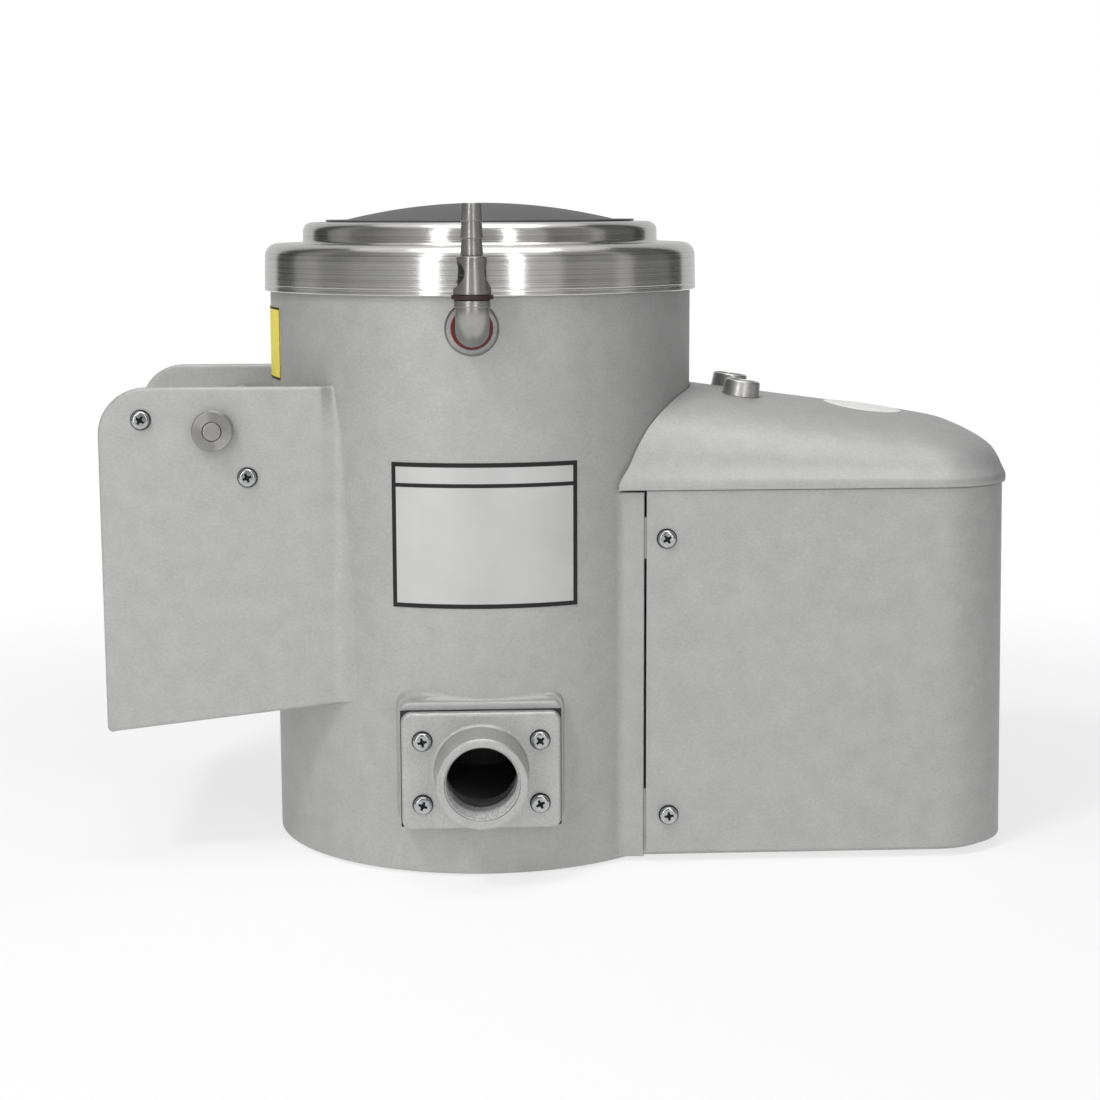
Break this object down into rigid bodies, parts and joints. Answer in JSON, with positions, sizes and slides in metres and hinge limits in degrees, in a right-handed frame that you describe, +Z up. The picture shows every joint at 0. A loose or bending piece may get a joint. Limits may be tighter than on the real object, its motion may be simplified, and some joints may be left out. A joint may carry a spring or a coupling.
{
  "type": "potato peeler",
  "caption": "Countertop potato rumbler: cast drum with a side discharge chute and door, front drain, water inlet, spun top cover with rubber lid and a belt-drive motor bay.",
  "frame": {"origin": "centre of the bounding box's base, on the worktop under the feet", "axes": "+Z up, +X from the chute towards the motor, -Y towards the drain and the water inlet"},
  "size_m": [0.6066, 0.354, 0.4378],
  "materials": {
    "cast_aluminium": "cast, bead-blasted, matt",
    "spun_aluminium": "spun, polished",
    "stainless_steel": "turned, satin",
    "zinc_plated_steel": "zinc plated, bright",
    "black_rubber": "moulded, matt",
    "grey_rubber": "moulded, smooth satin",
    "red_fibre": "sealing washer, matt",
    "grit_coating": "coated with abrasive grit",
    "black_plastic": "moulded, satin",
    "motor_paint": "sprayed, half matt",
    "start_button": "moulded, glossy",
    "stop_button": "moulded, glossy"
  },
  "bodies": {
    "machine": {"body_casting": "cast_aluminium", "underside_plate": "stainless_steel", "foot_front_left": "black_rubber", "foot_back_left": "black_rubber", "foot_front_right": "black_rubber", "foot_back_right": "black_rubber", "drain_gasket": "black_rubber", "drain_flange": "cast_aluminium", "drain_screw_1": "zinc_plated_steel", "drain_screw_2": "zinc_plated_steel", "drain_screw_3": "zinc_plated_steel", "drain_screw_4": "zinc_plated_steel", "inlet_washer": "red_fibre", "inlet_lock_nut": "stainless_steel", "inlet_elbow": "stainless_steel", "inlet_ring": "red_fibre", "air_gap_body": "stainless_steel", "hose_tail": "stainless_steel", "motor_cover": "cast_aluminium", "cover_screw_near_upper": "zinc_plated_steel", "cover_screw_near_lower": "zinc_plated_steel", "cover_screw_far_upper": "zinc_plated_steel", "cover_screw_far_lower": "zinc_plated_steel", "control_cover": "cast_aluminium", "start_bezel": "stainless_steel", "start_contact": "black_plastic", "stop_bezel": "stainless_steel", "stop_contact": "black_plastic", "cable_gland": "black_plastic", "closed_stop": "stainless_steel", "closed_stop_screw": "zinc_plated_steel", "open_stop": "stainless_steel", "open_stop_screw": "zinc_plated_steel", "bearing_housing": "cast_aluminium", "housing_bolt_1": "zinc_plated_steel", "housing_bolt_2": "zinc_plated_steel", "housing_bolt_3": "zinc_plated_steel", "lower_bearing": "zinc_plated_steel", "upper_bearing": "zinc_plated_steel", "spindle_seal": "black_rubber", "drive_belt": "black_rubber", "motor_frame": "motor_paint", "motor_bolt_1": "zinc_plated_steel", "motor_bolt_2": "zinc_plated_steel", "fan_cowl": "motor_paint"},
    "spindle": {"spindle": "stainless_steel", "driven_pulley": "cast_aluminium"},
    "rotor": {"rotor_plate": "grit_coating"},
    "motor_rotor": {"motor_shaft": "zinc_plated_steel", "motor_pulley": "cast_aluminium", "motor_fan": "black_plastic"},
    "cover": {"top_cover": "spun_aluminium"},
    "lid": {"rubber_lid": "grey_rubber"},
    "door": {"door_panel": "cast_aluminium", "door_shaft": "stainless_steel", "door_collar": "stainless_steel", "door_lever": "stainless_steel", "lever_knob": "black_plastic"},
    "start_push": {"start_button": "start_button"},
    "stop_push": {"stop_button": "stop_button"}
  },
  "joints": [
    {"name": "spindle_spin", "type": "hinge", "parent": "machine", "child": "spindle", "pos_m": [-0.05275, 0.01317, 0.02], "axis": [0, 0, 1], "continuous": true},
    {"name": "rotor_lift", "type": "slide", "parent": "spindle", "child": "rotor", "axis": [0, 0, 1], "range_m": [0, 0.04]},
    {"name": "motor_spin", "type": "hinge", "parent": "machine", "child": "motor_rotor", "pos_m": [0.18225, 0.01317, 0.02], "axis": [0, 0, 1], "continuous": true},
    {"name": "cover_lift", "type": "slide", "parent": "machine", "child": "cover", "axis": [0, 0, 1], "range_m": [0, 0.06]},
    {"name": "lid_lift", "type": "slide", "parent": "cover", "child": "lid", "axis": [0, 0, 1], "range_m": [0, 0.06]},
    {"name": "door_swing", "type": "hinge", "parent": "machine", "child": "door", "pos_m": [-0.22875, 0.01317, 0.2925], "axis": [0, 1, 0], "range_deg": [0, 70]},
    {"name": "start_press", "type": "slide", "parent": "machine", "child": "start_push", "axis": [-0.134, 0, -0.991], "range_m": [0, 0.003], "stiffness_N_per_m": 400, "springref_m": -0.002},
    {"name": "stop_press", "type": "slide", "parent": "machine", "child": "stop_push", "axis": [-0.134, 0, -0.991], "range_m": [0, 0.003], "stiffness_N_per_m": 400, "springref_m": -0.002}
  ],
  "couplings": [
    {"joint": "motor_spin", "follows": "spindle_spin", "ratio": 4}
  ]
}
